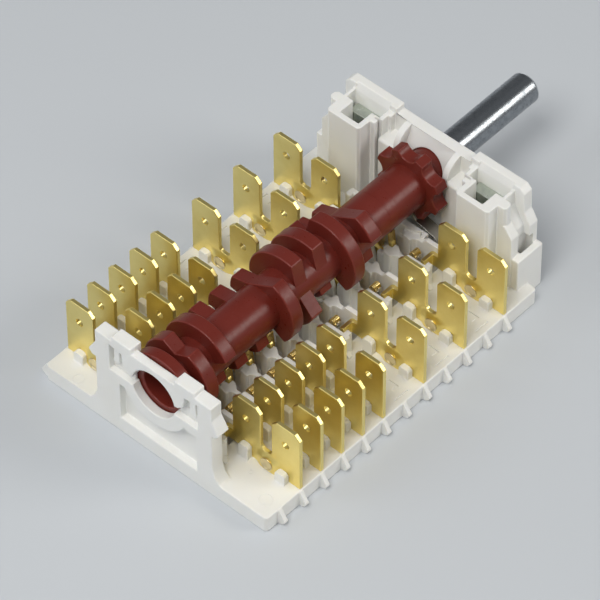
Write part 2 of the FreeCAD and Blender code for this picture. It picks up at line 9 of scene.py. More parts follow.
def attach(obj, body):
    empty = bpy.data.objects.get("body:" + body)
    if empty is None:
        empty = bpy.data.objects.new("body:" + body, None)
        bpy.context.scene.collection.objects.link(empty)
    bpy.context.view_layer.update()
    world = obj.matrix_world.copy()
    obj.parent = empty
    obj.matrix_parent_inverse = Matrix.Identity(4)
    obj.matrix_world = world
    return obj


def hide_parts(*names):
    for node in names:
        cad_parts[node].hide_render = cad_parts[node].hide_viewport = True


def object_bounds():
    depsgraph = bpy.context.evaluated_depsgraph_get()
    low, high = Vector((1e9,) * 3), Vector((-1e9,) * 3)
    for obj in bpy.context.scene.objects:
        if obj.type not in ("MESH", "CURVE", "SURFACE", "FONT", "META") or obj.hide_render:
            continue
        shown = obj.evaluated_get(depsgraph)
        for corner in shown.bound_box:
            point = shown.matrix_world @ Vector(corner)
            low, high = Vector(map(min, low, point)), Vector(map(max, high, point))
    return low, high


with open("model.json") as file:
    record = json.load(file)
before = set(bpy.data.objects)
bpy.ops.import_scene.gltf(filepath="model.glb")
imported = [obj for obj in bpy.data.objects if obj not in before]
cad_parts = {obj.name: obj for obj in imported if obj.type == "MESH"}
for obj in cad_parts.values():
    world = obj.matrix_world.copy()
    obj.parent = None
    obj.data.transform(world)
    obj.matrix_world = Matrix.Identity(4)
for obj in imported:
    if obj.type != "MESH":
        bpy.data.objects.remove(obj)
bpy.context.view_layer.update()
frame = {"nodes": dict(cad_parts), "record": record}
mm = 0.001


# shader helpers

def addNode(tree, kind, **values):
    node = tree.nodes.new(kind)
    for name, value in values.items():
        setattr(node, name, value)
    return node


def feed(tree, target, source):
    # a socket takes a link from another socket, or a plain value
    if isinstance(source, bpy.types.NodeSocket):
        tree.links.new(source, target)
    else:
        target.default_value = source


def newGroup(name, inputs, outputs):
    tree = bpy.data.node_groups.new(name, "ShaderNodeTree")
    for label, kind, value in inputs:
        socket = tree.interface.new_socket(name=label, in_out="INPUT", socket_type=kind)
        socket.default_value = value
    for label, kind in outputs:
        tree.interface.new_socket(name=label, in_out="OUTPUT", socket_type=kind)
    return tree, addNode(tree, "NodeGroupInput"), addNode(tree, "NodeGroupOutput")


def noiseOn(tree, vector, scale, detail=3.0, roughness=0.55, stretch=(1.0, 1.0, 1.0)):
    mapping = addNode(tree, "ShaderNodeMapping")
    feed(tree, mapping.inputs["Vector"], vector)
    mapping.inputs["Scale"].default_value = [1000.0 * part for part in stretch]
    noise = addNode(tree, "ShaderNodeTexNoise")
    feed(tree, noise.inputs["Vector"], mapping.outputs["Vector"])
    feed(tree, noise.inputs["Scale"], scale)
    noise.inputs["Detail"].default_value = detail
    noise.inputs["Roughness"].default_value = roughness
    return noise.outputs["Fac"]


def spread(tree, value, low, high, lowTo=0.0, highTo=1.0):
    node = addNode(tree, "ShaderNodeMapRange")
    for name, source in (("Value", value), ("From Min", low), ("From Max", high),
                         ("To Min", lowTo), ("To Max", highTo)):
        feed(tree, node.inputs[name], source)
    return node.outputs["Result"]


def combine(tree, operation, first, second):
    node = addNode(tree, "ShaderNodeMath", operation=operation)
    feed(tree, node.inputs[0], first)
    feed(tree, node.inputs[1], second)
    return node.outputs[0]


def blendColour(tree, factor, first, second, mode="MIX"):
    node = addNode(tree, "ShaderNodeMix", data_type="RGBA", blend_type=mode)
    feed(tree, node.inputs[0], factor)
    feed(tree, node.inputs[6], first)
    feed(tree, node.inputs[7], second)
    return node.outputs[2]


def buildWornEdge():
    # marks the rounded corners of a piece, broken up where handling missed them
    tree, given, result = newGroup(
        "wornEdge",
        [("Amount", "NodeSocketFloat", 0.5), ("Scale", "NodeSocketFloat", 0.8)],
        [("Wear", "NodeSocketFloat")])
    place = addNode(tree, "ShaderNodeTexCoord").outputs["Object"]
    corner = addNode(tree, "ShaderNodeAttribute", attribute_name="edgeMask").outputs["Fac"]
    patchy = spread(tree, noiseOn(tree, place, given.outputs["Scale"], 4.0), 0.36, 0.62, 0.35, 1.0)
    worn = combine(tree, "MULTIPLY", corner, patchy)
    feed(tree, result.inputs["Wear"], combine(tree, "MULTIPLY", worn, given.outputs["Amount"]))
    return tree


def buildMouldedSkin():
    # fine orange peel, faint flow clouds and a darker speck here and there
    tree, given, result = newGroup(
        "mouldedSkin",
        [("Colour", "NodeSocketColor", (0.8, 0.8, 0.8, 1)),
         ("Cloud", "NodeSocketColor", (0.7, 0.7, 0.7, 1)),
         ("Speck", "NodeSocketColor", (0.5, 0.5, 0.5, 1)),
         ("Cloudiness", "NodeSocketFloat", 0.3),
         ("Specks", "NodeSocketFloat", 0.2),
         ("Peel", "NodeSocketFloat", 0.1),
         ("Smooth", "NodeSocketFloat", 0.35),
         ("Rough", "NodeSocketFloat", 0.5)],
        [("Colour", "NodeSocketColor"), ("Roughness", "NodeSocketFloat"),
         ("Normal", "NodeSocketVector")])
    place = addNode(tree, "ShaderNodeTexCoord").outputs["Object"]
    clouds = spread(tree, noiseOn(tree, place, 0.12, 4.0), 0.35, 0.7)
    specks = spread(tree, noiseOn(tree, place, 2.6, 2.0), 0.70, 0.76)
    peel = noiseOn(tree, place, 1.6, 3.0)
    grit = noiseOn(tree, place, 6.0, 2.0)
    scuffs = spread(tree, noiseOn(tree, place, 0.9, 5.0, 0.7, (0.5, 3.0, 1.4)), 0.66, 0.74)
    cloudAmount = combine(tree, "MULTIPLY", clouds, given.outputs["Cloudiness"])
    speckAmount = combine(tree, "MULTIPLY", specks, given.outputs["Specks"])
    colour = blendColour(tree, cloudAmount, given.outputs["Colour"], given.outputs["Cloud"])
    colour = blendColour(tree, speckAmount, colour, given.outputs["Speck"])
    feed(tree, result.inputs["Colour"], colour)
    finish = spread(tree, peel, 0.3, 0.7, given.outputs["Smooth"], given.outputs["Rough"])
    feed(tree, result.inputs["Roughness"],
         combine(tree, "ADD", finish, combine(tree, "MULTIPLY", scuffs, 0.12)))
    bump = addNode(tree, "ShaderNodeBump")
    bump.inputs["Distance"].default_value = 0.05 * mm
    feed(tree, bump.inputs["Strength"], given.outputs["Peel"])
    relief = combine(tree, "ADD", peel, combine(tree, "MULTIPLY", grit, 0.35))
    feed(tree, bump.inputs["Height"],
         combine(tree, "SUBTRACT", relief, combine(tree, "MULTIPLY", scuffs, 0.3)))
    feed(tree, result.inputs["Normal"], bump.outputs["Normal"])
    return tree


def buildRolledMetal():
    # sheet or bar stock: drawn streaks, stains and small dings
    tree, given, result = newGroup(
        "rolledMetal",
        [("Colour", "NodeSocketColor", (0.8, 0.8, 0.8, 1)),
         ("Stain", "NodeSocketColor", (0.5, 0.5, 0.5, 1)),
         ("Staining", "NodeSocketFloat", 0.4),
         ("Stain Scale", "NodeSocketFloat", 0.3),
         ("Streak", "NodeSocketFloat", 0.2),
         ("Smooth", "NodeSocketFloat", 0.2),
         ("Rough", "NodeSocketFloat", 0.4)],
        [("Colour", "NodeSocketColor"), ("Roughness", "NodeSocketFloat"),
         ("Normal", "NodeSocketVector")])
    place = addNode(tree, "ShaderNodeTexCoord").outputs["Object"]
    stains = spread(tree, noiseOn(tree, place, given.outputs["Stain Scale"], 5.0, 0.65), 0.42, 0.7)
    streaks = noiseOn(tree, place, 1.0, 4.0, 0.6, (6.0, 6.0, 0.35))
    dings = spread(tree, noiseOn(tree, place, 3.2, 3.0), 0.66, 0.76)
    amount = combine(tree, "MULTIPLY", stains, given.outputs["Staining"])
    colour = blendColour(tree, amount, given.outputs["Colour"], given.outputs["Stain"])
    feed(tree, result.inputs["Colour"], colour)
    finish = spread(tree, stains, 0.0, 1.0, given.outputs["Smooth"], given.outputs["Rough"])
    drawn = combine(tree, "MULTIPLY", combine(tree, "SUBTRACT", streaks, 0.5), 0.15)
    feed(tree, result.inputs["Roughness"], combine(tree, "ADD", finish, drawn))
    bump = addNode(tree, "ShaderNodeBump")
    bump.inputs["Distance"].default_value = 0.02 * mm
    feed(tree, bump.inputs["Strength"], given.outputs["Streak"])
    feed(tree, bump.inputs["Height"],
         combine(tree, "ADD", streaks, combine(tree, "MULTIPLY", dings, -0.6)))
    feed(tree, result.inputs["Normal"], bump.outputs["Normal"])
    return tree


wornEdge = buildWornEdge()
mouldedSkin = buildMouldedSkin()
rolledMetal = buildRolledMetal()
print("shared finishes built")


# materials

def newMaterial(name, group, groupValues, shaderValues, edgeColour, edgeAmount):
    material = bpy.data.materials.new(name)
    material.use_nodes = True
    tree = material.node_tree
    tree.nodes.clear()
    finish = addNode(tree, "ShaderNodeGroup", node_tree=group)
    for label, value in groupValues.items():
        finish.inputs[label].default_value = value
    corners = addNode(tree, "ShaderNodeGroup", node_tree=wornEdge)
    corners.inputs["Amount"].default_value = edgeAmount
    shader = addNode(tree, "ShaderNodeBsdfPrincipled")
    for label, value in shaderValues.items():
        shader.inputs[label].default_value = value
    feed(tree, shader.inputs["Base Color"],
         blendColour(tree, corners.outputs["Wear"], finish.outputs["Colour"], edgeColour))
    feed(tree, shader.inputs["Roughness"], finish.outputs["Roughness"])
    feed(tree, shader.inputs["Normal"], finish.outputs["Normal"])
    out = addNode(tree, "ShaderNodeOutputMaterial")
    feed(tree, out.inputs["Surface"], shader.outputs["BSDF"])
    return material


# each finish: colours and grain, shader values, corner colour, how far corners are worn
plasticValues = {
    "creamMoulding": (
        {"Colour": (0.865, 0.865, 0.835, 1), "Cloud": (0.82, 0.81, 0.76, 1),
         "Speck": (0.60, 0.58, 0.52, 1), "Cloudiness": 0.5, "Specks": 0.18, "Peel": 0.16,
         "Smooth": 0.36, "Rough": 0.48},
        {"Specular IOR Level": 0.45, "Subsurface Weight": 0.10, "Subsurface Scale": 0.0010,
         "Subsurface Radius": (1.0, 0.85, 0.6)},
        (0.90, 0.89, 0.85, 1), 0.5),
    "oxideRedMoulding": (
        {"Colour": (0.145, 0.018, 0.0105, 1), "Cloud": (0.17, 0.027, 0.020, 1),
         "Speck": (0.26, 0.09, 0.075, 1), "Cloudiness": 0.6, "Specks": 0.35, "Peel": 0.24,
         "Smooth": 0.27, "Rough": 0.37},
        {"Specular IOR Level": 0.30},
        (0.24, 0.05, 0.04, 1), 0.5),
}
metalValues = {
    "tabBrass": (
        {"Colour": (0.92, 0.77, 0.29, 1), "Stain": (0.80, 0.64, 0.20, 1), "Staining": 0.5,
         "Stain Scale": 0.13, "Streak": 0.07, "Smooth": 0.32, "Rough": 0.42}, {"Metallic": 1.0},
        (0.95, 0.76, 0.28, 1), 0.4),
    "rivetBrass": (
        {"Colour": (0.80, 0.70, 0.44, 1), "Stain": (0.62, 0.52, 0.32, 1), "Staining": 0.5,
         "Stain Scale": 0.6, "Streak": 0.1, "Smooth": 0.34, "Rough": 0.46}, {"Metallic": 1.0},
        (1.0, 0.86, 0.5, 1), 0.5),
    "leafBronze": (
        {"Colour": (0.86, 0.64, 0.24, 1), "Stain": (0.62, 0.42, 0.15, 1), "Staining": 0.4,
         "Stain Scale": 0.5, "Streak": 0.1, "Smooth": 0.24, "Rough": 0.36}, {"Metallic": 1.0},
        (0.95, 0.74, 0.36, 1), 0.6),
    "spindleSteel": (
        {"Colour": (0.31, 0.33, 0.35, 1), "Stain": (0.15, 0.17, 0.19, 1), "Staining": 0.75,
         "Stain Scale": 1.0, "Streak": 0.35, "Smooth": 0.20, "Rough": 0.36}, {"Metallic": 1.0},
        (0.72, 0.74, 0.76, 1), 0.7),
    "zincPlate": (
        {"Colour": (0.62, 0.67, 0.60, 1), "Stain": (0.42, 0.47, 0.42, 1), "Staining": 0.6,
         "Stain Scale": 0.6, "Streak": 0.3, "Smooth": 0.28, "Rough": 0.45}, {"Metallic": 1.0},
        (0.8, 0.84, 0.78, 1), 0.7),
    "springSteel": (
        {"Colour": (0.42, 0.41, 0.38, 1), "Stain": (0.30, 0.28, 0.25, 1), "Staining": 0.4,
         "Stain Scale": 0.3, "Streak": 0.08, "Smooth": 0.32, "Rough": 0.42}, {"Metallic": 1.0},
        (0.7, 0.7, 0.72, 1), 0.5),
    "contactSilver": (
        {"Colour": (0.80, 0.79, 0.77, 1), "Stain": (0.50, 0.47, 0.42, 1), "Staining": 0.4,
         "Stain Scale": 1.0, "Streak": 0.3, "Smooth": 0.25, "Rough": 0.45}, {"Metallic": 1.0},
        (0.9, 0.9, 0.88, 1), 0.4),
}
materials = {}
for name, (groupValues, shaderValues, edgeColour, edgeAmount) in plasticValues.items():
    materials[name] = newMaterial(name, mouldedSkin, groupValues, shaderValues, edgeColour,
                                  edgeAmount)
for name, (groupValues, shaderValues, edgeColour, edgeAmount) in metalValues.items():
    materials[name] = newMaterial(name, rolledMetal, groupValues, shaderValues, edgeColour,
                                  edgeAmount)
slotFinish = {"base_moulding": "creamMoulding", "cam_moulding": "oxideRedMoulding",
              "spindle_steel": "spindleSteel", "zinc_steel": "zincPlate",
              "spring_steel": "springSteel", "tab_brass": "tabBrass",
              "leaf_bronze": "leafBronze", "contact_silver": "contactSilver"}
print("materials made:", len(materials))


# placing and showing pieces

layout = {"pitch": 5.2, "seats": (0, 1, 2, 3, 4, 6, 8, 10), "leftLag": 3.24,
          "panelFace": 64.4, "axisHeight": 12.0, "eyeletX": 18.2, "eyeletZ": 1.65}
tolerances = {"weld": 0.002 * mm, "seam": 1e-7, "slice": 1e-6, "flatAngle": math.radians(1.0)}


def spot(x, y, z):
    # x across, y from the near face of the first right blade, z from the base's top face
    return Vector((x, y - layout["panelFace"], z - layout["axisHeight"])) * mm


def slotOf(node):
    return [part["material_slot"] for part in frame["record"]["subparts"]
            if part["node"] == node][0]


def bodyOf(node):
    return [body for body, nodes in frame["record"]["behaviour"]["bodies"].items()
            if node in nodes][0]


def setNormals(data, smoothAngle):
    # flats keep their own direction, and a rounded corner leads from one flat to the next
    near, far = math.cos(math.radians(smoothAngle)), math.cos(math.radians(60))
    facing = [polygon.normal.copy() for polygon in data.polygons]
    corner = [polygon.material_index == 1 for polygon in data.polygons]
    around = [[] for _ in data.vertices]
    for polygon in data.polygons:
        ring = list(polygon.vertices)
        for count, index in enumerate(ring):
            here = data.vertices[index].co
            before = data.vertices[ring[count - 1]].co - here
            after = data.vertices[ring[(count + 1) % len(ring)]].co - here
            around[index].append((polygon.index, before.angle(after, 0.0)))
    directions = [Vector((0, 0, 1))] * len(data.loops)
    for polygon in data.polygons:
        own = facing[polygon.index]
        for loop, index in zip(polygon.loop_indices, polygon.vertices):
            flats = [(face, share) for face, share in around[index] if not corner[face]]
            limit = near
            if corner[polygon.index]:
                flats, limit = flats or around[index], far
            total = own * 1e-6
            for face, share in flats:
                if facing[face].dot(own) > limit:
                    total = total + facing[face] * share
            if total.length > 0:
                directions[loop] = total.normalized()
    data.normals_split_custom_set(directions)


def showPiece(name, data, slot, body, *replaced, finish=None, smoothAngle=30):
    for polygon in data.polygons:
        polygon.use_smooth = True
    setNormals(data, smoothAngle)
    for polygon in data.polygons:
        polygon.material_index = 0
    data.materials.clear()
    data.materials.append(materials[finish or slotFinish[slot]])
    piece = bpy.data.objects.new(name, data)
    bpy.context.scene.collection.objects.link(piece)
    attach(piece, body)
    if replaced:
        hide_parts(*replaced)
    return piece


def showCopies(data, name, node, slot):
    # one copy for each seat, in place of that seat's node
    for count, seat in enumerate(layout["seats"], 1):
        copy = data.copy()
        copy.transform(Matrix.Translation((0, seat * layout["pitch"] * mm, 0)))
        showPiece(name + str(count), copy, slot, "housing", node + str(count))


def meshFrom(name, mesh):
    data = bpy.data.meshes.new(name)
    mesh.to_mesh(data)
    mesh.free()
    return data


def joinInto(whole, mesh):
    data = meshFrom("one", mesh)
    whole.from_mesh(data)
    bpy.data.meshes.remove(data)


for part in frame["record"]["subparts"]:
    node = frame["nodes"][part["node"]]
    node.data.materials.clear()
    node.data.materials.append(materials[slotFinish[part["material_slot"]]])
print("nodes dressed:", len(frame["nodes"]))


# rounded corners

def cleaned(node):
    # a copy of a node's loose triangles, merged and with its flats made whole
    mesh = bmesh.new()
    mesh.from_mesh(frame["nodes"][node].data)
    tidied(mesh)
    return mesh


def tidied(mesh):
    bmesh.ops.remove_doubles(mesh, verts=mesh.verts, dist=tolerances["weld"])
    bmesh.ops.dissolve_degenerate(mesh, dist=tolerances["weld"], edges=mesh.edges)
    bmesh.ops.dissolve_limit(mesh, angle_limit=tolerances["flatAngle"], verts=mesh.verts,
                             edges=mesh.edges)


def turnBetween(edge, other):
    shared = [vert for vert in edge.verts if vert in other.verts][0]
    first = (edge.other_vert(shared).co - shared.co).normalized()
    second = (other.other_vert(shared).co - shared.co).normalized()
    return math.pi - first.angle(second, 0)


def cornerRoom(mesh, width, sharpAngle, hollows, part, kept):
    # how wide each sharp edge can be rounded before it meets a neighbour
    sharp = {edge for edge in mesh.edges if len(edge.link_faces) == 2
             and edge.calc_face_angle(0) > sharpAngle and (hollows or edge.is_convex)
             and not kept(edge)}
    room, runs = {}, {}
    for edge in sharp:
        least, run = width, []
        for loop in edge.link_loops:
            for near in (loop.link_loop_next.edge, loop.link_loop_prev.edge):
                turn = turnBetween(edge, near)
                if near in sharp and turn < math.radians(35):
                    run.append(near)
                else:
                    share = part * max(0.5, math.sin(turn))
                    least = min(least, share * near.calc_length())
        room[edge], runs[edge] = least, run
    for _ in range(40):
        settled = True
        for edge, run in runs.items():
            least = min([room[edge]] + [room[near] for near in run])
            if least < room[edge] - 1e-9:
                room[edge], settled = least, False
        if settled:
            break
    return room


def rounded(name, mesh, width, segments=3, sharpAngle=28, hollows=True, part=0.4,
            kept=lambda edge: False):
    # rounds the corners and marks them in an attribute for the worn edge finish
    weight = mesh.edges.layers.float.new("bevel_weight_edge")
    room = cornerRoom(mesh, width * mm, math.radians(sharpAngle), hollows, part, kept)
    for edge, space in room.items():
        edge[weight] = space / (width * mm)
    manySided = [face for face in mesh.faces if len(face.verts) > 4]
    bmesh.ops.triangulate(mesh, faces=manySided, ngon_method="BEAUTY")
    rough = bpy.data.objects.new(name, meshFrom(name, mesh))
    bpy.context.scene.collection.objects.link(rough)
    bevel = rough.modifiers.new("corners", "BEVEL")
    bevel.limit_method = "WEIGHT"
    bevel.width = width * mm
    bevel.segments = segments
    bevel.use_clamp_overlap = False
    bevel.loop_slide = False
    bevel.material = 1
    rough.data.materials.append(materials["creamMoulding"])
    rough.data.materials.append(materials["tabBrass"])
    depsgraph = bpy.context.evaluated_depsgraph_get()
    data = bpy.data.meshes.new_from_object(rough.evaluated_get(depsgraph))
    bpy.data.objects.remove(rough)
    onFlat = [0] * len(data.vertices)
    for polygon in data.polygons:
        if polygon.material_index == 0:
            for index in polygon.vertices:
                onFlat[index] = 1
    marks = data.attributes.new("edgeMask", "FLOAT", "POINT")
    marks.data.foreach_set("value", [1.0 - flat for flat in onFlat])
    return data


cornerValues = {
    "base_frame": {"width": 0.26, "part": 0.32}, "camshaft": {"width": 0.28, "hollows": False},
    "spindle": {"width": 0.35, "segments": 4}, "panel_nuts": {"width": 0.35},
    "detent_spring": {"width": 0.12, "segments": 2},
}
seatMarkValues = {"cut": -0.9, "seen": -0.22, "inward": 19.5}
ledgeValues = {"halfWidth": 9.0, "above": 17.3, "near": 61.4, "far": 62.8}


def bearingLedge(edge):
    # the sloping bearing wall runs out just under the top edge, too close to round
    values = ledgeValues
    near, far = spot(0, values["near"], 0), spot(0, values["far"], 0)
    return all(abs(vert.co.x) < values["halfWidth"] * mm
               and vert.co.z > spot(0, 0, values["above"]).z
               and near.y < vert.co.y < far.y for vert in edge.verts)


def raiseSeatMarks(mesh):
    # the marks of unused seats are only shallow ones
    values = seatMarkValues
    for vert in mesh.verts:
        level = vert.co.z / mm + layout["axisHeight"]
        if abs(vert.co.x) / mm > values["inward"] and abs(level - values["cut"]) < 0.02:
            vert.co.z = spot(0, 0, values["seen"]).z


for node, values in cornerValues.items():
    mesh = cleaned(node)
    kept = {}
    if node == "base_frame":
        raiseSeatMarks(mesh)
        kept = {"kept": bearingLedge}
    showPiece(node + "Skin", rounded(node + "Skin", mesh, **values, **kept), slotOf(node),
              bodyOf(node), node)
print("moulded and turned pieces rounded")


# blade terminals

bladeValues = {"width": 0.13, "eyeletReach": 1.3, "latchX": (13.2, 22.0), "latchZ": 8.9,
               "latchReach": 0.95}
pressValues = {
    # the solid's stepped panel
    "stepAcross": (14.6, 21.0), "stepBelow": 3.2,
    # the soft pressing that takes its place
    "flatReach": 1.15, "softReach": 3.1, "foot": -0.5, "fullHeight": 2.2, "softHeight": 3.78,
    "lift": 0.6, "grid": 0.42, "gridStart": 0.2,
}


def eased(amount):
    amount = min(1.0, max(0.0, amount))
    return amount * amount * (3.0 - 2.0 * amount)


def flattenStep(mesh, side, lag):
    # the stepped panel goes back into the sheet
    near = spot(0, -lag, 0).y
    inner, outer = pressValues["stepAcross"]
    for vert in mesh.verts:
        across, up = side * vert.co.x / mm, vert.co.z / mm + layout["axisHeight"]
        if inner < across < outer and up < pressValues["stepBelow"] and vert.co.y < near:
            vert.co.y = near
    tidied(mesh)


def sliced(mesh, place, normal):
    bmesh.ops.bisect_plane(mesh, geom=mesh.verts[:] + mesh.edges[:] + mesh.faces[:],
                           dist=tolerances["slice"], plane_co=place, plane_no=normal)


def pressOut(mesh, side):
    # pressed out softly round the eyelet, both faces together, on a grid cut for it
    values = pressValues
    step, reach, flat = values["grid"], values["softReach"], values["flatReach"]
    full, soft = values["fullHeight"], values["softHeight"]
    for count in range(int(2 * reach / step) + 1):
        sliced(mesh, spot(side * (layout["eyeletX"] - reach + count * step), 0, 0), (1, 0, 0))
    for count in range(int(soft / step) + 1):
        sliced(mesh, spot(0, 0, values["gridStart"] + count * step), (0, 0, 1))
    for vert in mesh.verts:
        across = abs(side * vert.co.x / mm - layout["eyeletX"])
        up = vert.co.z / mm + layout["axisHeight"]
        if across < reach and values["foot"] < up < soft:
            wide = 1.0 - eased((across - flat) / (reach - flat))
            tall = 1.0 - eased((up - full) / (soft - full))
            vert.co.y -= values["lift"] * wide * tall * mm


def buildBlades(row, side, lag):
    values = bladeValues
    node = "terminal_" + row + "_"
    mesh = cleaned(node + "1")
    flattenStep(mesh, side, lag)
    holes = [(spot(side * x, -lag, values["latchZ"]), values["latchReach"])
             for x in values["latchX"]]
    holes.append((spot(side * layout["eyeletX"], -lag, layout["eyeletZ"]),
                  values["eyeletReach"]))

    def roundHole(edge):
        return any(all(math.hypot(vert.co.x - centre.x, vert.co.z - centre.z) < reach * mm
                       for vert in edge.verts) for centre, reach in holes)

    data = rounded(row + "Blade", mesh, values["width"], kept=roundHole)
    mesh = bmesh.new()
    mesh.from_mesh(data)
    pressOut(mesh, side)
    showCopies(meshFrom(row + "Blade", mesh), row + "Blade", node, "tab_brass")


buildBlades("right", 1, 0.0)
buildBlades("left", -1, layout["leftLag"])
print("blade terminals pressed:", 2 * len(layout["seats"]))


# turned small parts

across, alongShaft, upright = Vector((1, 0, 0)), Vector((0, 1, 0)), Vector((0, 0, 1))


def spunRing(profile, centre, axis, steps=32, out=upright):
    # a closed outline in (distance along the axis, radius), spun right round
    mesh = bmesh.new()
    verts = [mesh.verts.new(centre + axis * along * mm + out * radius * mm)
             for along, radius in profile]
    edges = [mesh.edges.new((verts[index - 1], verts[index])) for index in range(len(verts))
             if profile[index][1] > 0 or profile[index - 1][1] > 0]
    bmesh.ops.spin(mesh, geom=verts + edges, cent=centre, axis=axis, dvec=(0, 0, 0),
                   angle=math.tau, steps=steps, use_merge=True)
    bmesh.ops.remove_doubles(mesh, verts=mesh.verts, dist=tolerances["seam"])
    bmesh.ops.recalc_face_normals(mesh, faces=mesh.faces)
    return mesh


def spunRow(name, profile, places, axis, slot, *replaced, finish=None):
    whole = bmesh.new()
    for place in places:
        joinInto(whole, spunRing(profile, place, axis))
    showPiece(name, meshFrom(name, whole), slot, "housing", *replaced, finish=finish,
              smoothAngle=50)


# outlines run along the axis from the rolled front to the back
eyeletValues = {"profile": (
    (0.80, 0.0), (0.80, 1.02), (0.74, 1.10), (-0.52, 1.10), (-0.60, 1.22), (-0.62, 1.30),
    (-0.68, 1.33), (-0.75, 1.31), (-0.79, 1.24), (-0.78, 1.15), (-0.70, 1.09), (-0.60, 1.04),
    (-0.56, 0.90), (-0.55, 0.45), (-0.54, 0.0))}
contactValues = {"y": -1.25, "z": 2.2, "flapX": 8.2, "profile": (
    (0.78, 0.0), (0.80, 0.36), (0.74, 0.44), (0.0, 0.44), (0.0, 0.80), (-0.08, 0.85),
    (-0.28, 0.80), (-0.42, 0.62), (-0.49, 0.34), (-0.50, 0.0))}
buttonValues = {"x": 6.85, "profile": (
    (0.0, 0.0), (0.0, 0.80), (0.10, 0.85), (0.24, 0.72), (0.33, 0.42), (0.35, 0.0))}
rootValues = {"x": -7.9, "profile": (
    (-1.08, 0.0), (-1.10, 0.38), (-1.04, 0.44), (0.0, 0.44), (0.0, 0.80), (0.08, 0.85),
    (0.26, 0.78), (0.37, 0.50), (0.40, 0.0))}


def seatPlaces(x, y, z, lag=0.0):
    return [spot(x, y - lag + seat * layout["pitch"], z) for seat in layout["seats"]]


spunRow("rightEyelets", eyeletValues["profile"],
        seatPlaces(layout["eyeletX"], 0, layout["eyeletZ"]), alongShaft, "tab_brass",
        "eyelets_right", finish="rivetBrass")
spunRow("leftEyelets", eyeletValues["profile"],
        seatPlaces(-layout["eyeletX"], 0, layout["eyeletZ"], layout["leftLag"]), alongShaft,
        "tab_brass", "eyelets_left", finish="rivetBrass")
spunRow("fixedContactHeads", contactValues["profile"],
        seatPlaces(contactValues["flapX"], contactValues["y"], contactValues["z"]), across,
        "contact_silver", "fixed_contacts")
spunRow("movingContactHeads", buttonValues["profile"],
        seatPlaces(buttonValues["x"], contactValues["y"], contactValues["z"]), across,
        "contact_silver", "moving_contacts")
spunRow("leafRivetHeads", rootValues["profile"],
        seatPlaces(rootValues["x"], contactValues["y"], contactValues["z"]), across,
        "tab_brass", "leaf_rivets")
print("eyelets and rivets spun")


# contact leaves, bent from strip

leafValues = {"width": 0.09, "segments": 2}
crownValues = {"above": 4.5, "drop": 1.05}  # pressed down far enough to clear every lobe
leafMesh = cleaned("contact_leaf_1")
for vert in leafMesh.verts:
    if vert.co.z > spot(0, 0, crownValues["above"]).z:
        vert.co.z -= crownValues["drop"] * mm
leafData = rounded("contactLeaf", leafMesh, **leafValues)
showCopies(leafData, "contactLeaf", "contact_leaf_", "leaf_bronze")
print("contact leaves rounded")


# the barrel between the cams, round where the node's long facets are folded

barrelValues = {"start": -5.0, "end": 55.6, "inner": 4.0, "outer": 4.36, "steps": 96}


def barrelSleeve():
    values = barrelValues
    length = values["end"] - values["start"]
    profile = ((0.0, values["inner"]), (length, values["inner"]), (length, values["outer"]),
               (0.0, values["outer"]))
    ring = spunRing(profile, spot(0, values["start"], layout["axisHeight"]), alongShaft,
                    values["steps"])
    showPiece("barrelSleeve", meshFrom("barrelSleeve", ring), "cam_moulding", "rotor",
              smoothAngle=50)


barrelSleeve()
print("barrel sleeved")


# witness marks that the mould leaves on the camshaft and the base

markValues = {
    # ring: along the shaft, ridge height, ridge width, start and end angle from the top
    "shaftRings": ((46.5, 0.025, 0.14, -30, 70), (48.8, 0.02, 0.12, -10, 60),
                   (51.2, 0.02, 0.12, -35, 50), (11.0, 0.02, 0.12, 0, 60)),
    "ringFoot": -0.08, "ringSteps": 28,
    # disc: x, y, radius, height
    "baseDiscs": ((22.3, -5.3, 1.35, 0.06), (16.4, -2.5, 0.5, 0.06), (-19.1, -7.0, 1.1, 0.06)),
    "discFoot": -0.1, "discBand": 0.25, "discSteps": 40,
}


def shaftMarks():
    values, radius = markValues, barrelValues["outer"]
    whole = bmesh.new()
    for along, height, width, start, end in values["shaftRings"]:
        ring = bmesh.new()
        turn = Matrix.Rotation(math.radians(start), 3, "Y")
        corners = ((-width / 2, values["ringFoot"]), (-width / 4, height), (width / 4, height),
                   (width / 2, values["ringFoot"]))
        verts = [ring.verts.new(turn @ Vector((0, (along + y - layout["panelFace"]) * mm,
                                               (radius + rise) * mm)))
                 for y, rise in corners]
        face = ring.faces.new(verts)
        bmesh.ops.spin(ring, geom=[face] + face.edges[:] + verts, cent=(0, 0, 0),
                       axis=alongShaft, dvec=(0, 0, 0), angle=math.radians(end - start),
                       steps=values["ringSteps"], use_merge=False)
        bmesh.ops.remove_doubles(ring, verts=ring.verts, dist=tolerances["seam"])
        bmesh.ops.holes_fill(ring, edges=ring.edges, sides=0)
        bmesh.ops.recalc_face_normals(ring, faces=ring.faces)
        joinInto(whole, ring)
    showPiece("shaftWitnessLines", meshFrom("shaftWitnessLines", whole), "cam_moulding", "rotor")


def baseMarks():
    # flat ejector rings, left bare
    values, foot = markValues, markValues["discFoot"]
    whole = bmesh.new()
    for x, y, radius, height in values["baseDiscs"]:
        inner = radius - values["discBand"]
        profile = ((foot, radius), (height - 0.02, radius), (height, radius - 0.03),
                   (height, inner + 0.03), (height - 0.02, inner), (foot, inner))
        joinInto(whole, spunRing(profile, spot(x, y, 0), upright, values["discSteps"], across))
    showPiece("ejectorRings", meshFrom("ejectorRings", whole), "base_moulding", "housing")


# pane: inner and outer edge, bottom and top
windowValues = {"wallNear": -8.5, "back": (1.25, 1.7), "corner": 0.08,
                "panes": ((5.9, 10.2, 13.0, 17.2), (5.1, 10.2, 10.6, 13.2))}


